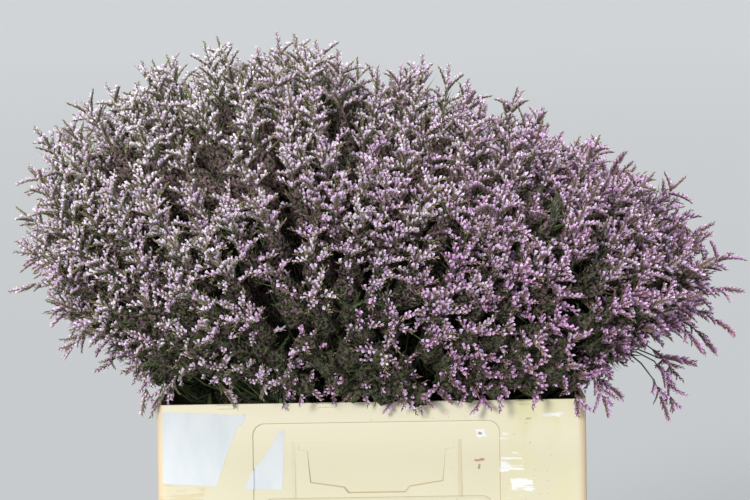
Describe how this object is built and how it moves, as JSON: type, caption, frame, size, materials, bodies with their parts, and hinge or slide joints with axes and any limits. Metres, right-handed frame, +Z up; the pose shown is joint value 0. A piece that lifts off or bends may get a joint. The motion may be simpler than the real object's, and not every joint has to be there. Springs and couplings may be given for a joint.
{
  "type": "dried statice in a flower crate",
  "caption": "Dense bunch of dried lilac statice on thin branching stems, standing in a deep cream plastic flower crate with an open top.",
  "frame": {"origin": "middle of the crate's underside, on the surface that it stands on", "axes": "+Z up, -Y out of the crate's front wall with the grip and the stickers, +X to the right seen from the front"},
  "size_m": [0.7052, 0.5069, 0.6857],
  "materials": {
    "crate_plastic": "moulded cream plastic, softly satin, scuffed, with torn blank paper stickers on the front",
    "dried_flowers": "papery white to violet florets with olive bracts, dry and matt",
    "dried_stems": "thin dull dark green to brown branching stems",
    "paper_label": "blank torn paper stickers, matt and slightly wrinkled"
  },
  "bodies": {
    "root": {"crate": "crate_plastic", "statice_stem_01": "dried_flowers", "statice_stem_02": "dried_flowers", "statice_stem_03": "dried_flowers", "statice_stem_04": "dried_flowers", "statice_stem_05": "dried_flowers", "statice_stem_06": "dried_flowers", "statice_stem_07": "dried_flowers", "statice_stem_08": "dried_flowers", "statice_stem_09": "dried_flowers", "statice_stem_10": "dried_flowers", "statice_stem_11": "dried_flowers", "statice_stem_12": "dried_flowers", "statice_stem_13": "dried_flowers", "statice_stem_14": "dried_flowers", "statice_stem_15": "dried_flowers", "statice_stem_16": "dried_flowers", "statice_stem_17": "dried_flowers", "statice_stem_18": "dried_flowers", "statice_stem_19": "dried_flowers", "statice_stem_20": "dried_flowers", "statice_stem_21": "dried_flowers", "statice_stem_22": "dried_flowers", "statice_stem_23": "dried_flowers", "statice_stem_24": "dried_flowers", "statice_stem_25": "dried_flowers", "statice_stem_26": "dried_flowers", "statice_stem_27": "dried_flowers", "statice_stem_28": "dried_flowers", "statice_stem_29": "dried_flowers", "statice_stem_30": "dried_flowers", "statice_stem_31": "dried_flowers", "statice_stem_32": "dried_flowers", "statice_stem_33": "dried_flowers", "statice_stem_34": "dried_flowers", "statice_stem_35": "dried_flowers", "statice_stem_36": "dried_flowers", "statice_stem_37": "dried_flowers", "statice_stem_38": "dried_flowers", "statice_stem_39": "dried_flowers", "statice_stem_40": "dried_flowers"}
  },
  "joints": []
}
